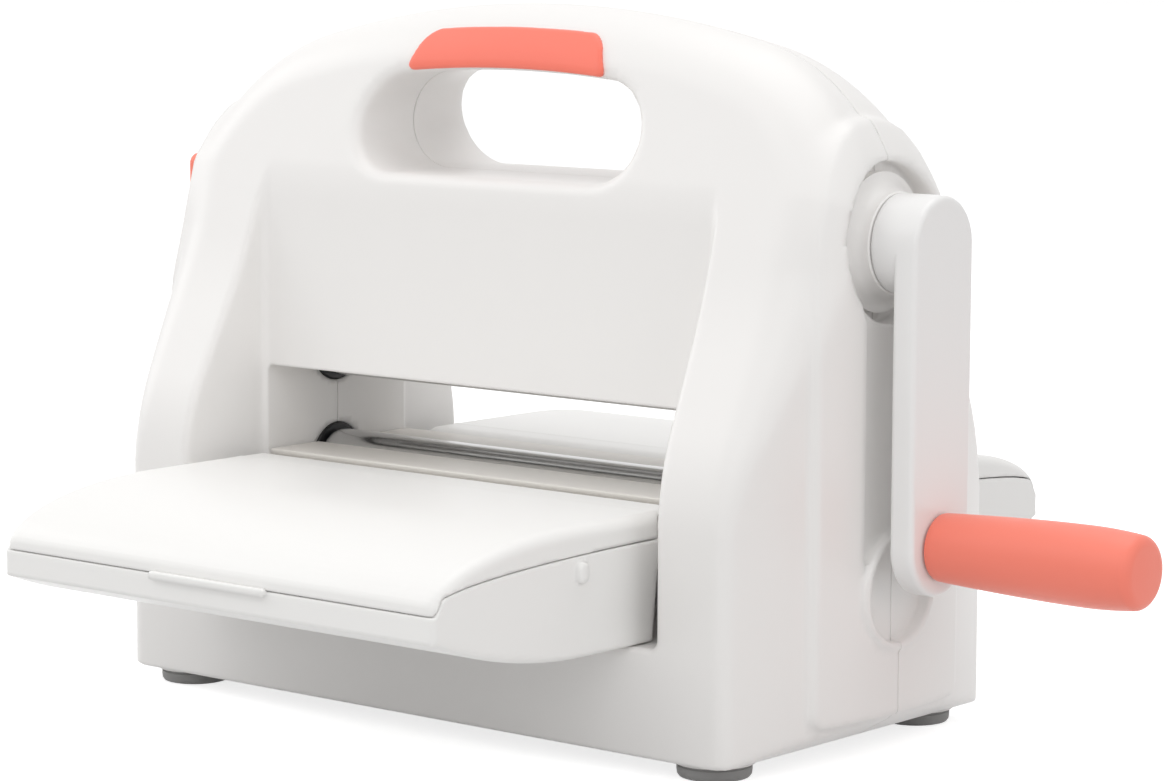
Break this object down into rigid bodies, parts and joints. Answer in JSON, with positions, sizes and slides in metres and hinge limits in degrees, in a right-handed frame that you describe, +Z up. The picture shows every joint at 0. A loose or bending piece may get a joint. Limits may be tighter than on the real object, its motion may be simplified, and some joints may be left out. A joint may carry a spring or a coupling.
{
  "type": "die cutting machine",
  "caption": "Hand-cranked die cutting machine with geared steel rollers behind a feed slot, a carry handle with a soft grip, and two fold-up feed trays.",
  "frame": {"origin": "point on the table midway between the four feet, on the parting plane of the two shells", "axes": "+Z up; the front tray points to -Y; the crank is on the +X side"},
  "size_m": [0.3619, 0.297, 0.219],
  "materials": {
    "white_shell": "satin moulded plastic",
    "white_deck": "satin moulded plastic",
    "white_arm": "smooth moulded plastic",
    "white_tray": "satin moulded plastic",
    "grey_rubber": "matt rubber",
    "coral_soft": "soft-touch overmould",
    "coral_plastic": "matt moulded plastic",
    "black_plastic": "black acetal",
    "roller_steel": "ground steel",
    "screw_steel": "blackened steel",
    "frame_steel": "zinc plated steel"
  },
  "bodies": {
    "housing": {"front_shell": "white_shell", "rear_shell": "white_shell", "base_pan": "white_shell", "feet": "grey_rubber", "grip_pad": "coral_soft", "front_deck": "white_deck", "rear_deck": "white_deck", "left_side_plate": "frame_steel", "right_side_plate": "frame_steel", "tie_rods": "frame_steel", "frame_screws": "screw_steel", "shell_screws": "screw_steel", "lower_left_bushing": "black_plastic", "lower_right_bushing": "black_plastic", "upper_left_bushing": "black_plastic", "upper_right_bushing": "black_plastic", "crank_left_bushing": "black_plastic", "crank_right_bushing": "black_plastic", "crank_collar": "white_shell", "front_hinge_pins": "frame_steel", "rear_hinge_pins": "frame_steel"},
    "upper_roller_set": {"upper_roller": "roller_steel", "drive_gear": "frame_steel", "upper_timing_gear": "black_plastic", "upper_shaft_clips": "frame_steel"},
    "lower_roller_set": {"lower_roller": "roller_steel", "lower_timing_gear": "black_plastic", "lower_shaft_clips": "frame_steel"},
    "crank": {"crank_shaft": "frame_steel", "drive_pinion": "frame_steel", "crank_shaft_clips": "frame_steel", "crank_arm": "white_arm", "arm_core": "frame_steel", "arm_screw": "screw_steel", "knob_spindle": "frame_steel", "left_knob": "coral_plastic", "left_knob_screw": "screw_steel"},
    "knob": {"crank_knob": "coral_plastic", "knob_sleeve": "black_plastic"},
    "front_tray": {"front_tray_cover": "white_tray", "front_tray_base": "white_tray", "front_tray_screws": "screw_steel"},
    "rear_tray": {"rear_tray_cover": "white_tray", "rear_tray_base": "white_tray", "rear_tray_screws": "screw_steel"}
  },
  "joints": [
    {"name": "crank_turn", "type": "hinge", "parent": "housing", "child": "crank", "pos_m": [0, 0, 0.152], "axis": [1, 0, 0], "continuous": true},
    {"name": "upper_roll", "type": "hinge", "parent": "housing", "child": "upper_roller_set", "pos_m": [0, 0, 0.106], "axis": [1, 0, 0], "continuous": true},
    {"name": "lower_roll", "type": "hinge", "parent": "housing", "child": "lower_roller_set", "pos_m": [0, 0, 0.0685], "axis": [1, 0, 0], "continuous": true},
    {"name": "knob_spin", "type": "hinge", "parent": "crank", "child": "knob", "pos_m": [0.1493, 0, 0.065], "axis": [1, 0, 0], "continuous": true},
    {"name": "front_tray_fold", "type": "hinge", "parent": "housing", "child": "front_tray", "pos_m": [0, -0.043, 0.065], "axis": [-1, 0, 0], "range_deg": [0, 90]},
    {"name": "rear_tray_fold", "type": "hinge", "parent": "housing", "child": "rear_tray", "pos_m": [0, 0.043, 0.065], "axis": [1, 0, 0], "range_deg": [0, 90]}
  ],
  "couplings": [
    {"joint": "upper_roll", "follows": "crank_turn", "ratio": -0.4375},
    {"joint": "lower_roll", "follows": "crank_turn", "ratio": 0.4375}
  ]
}
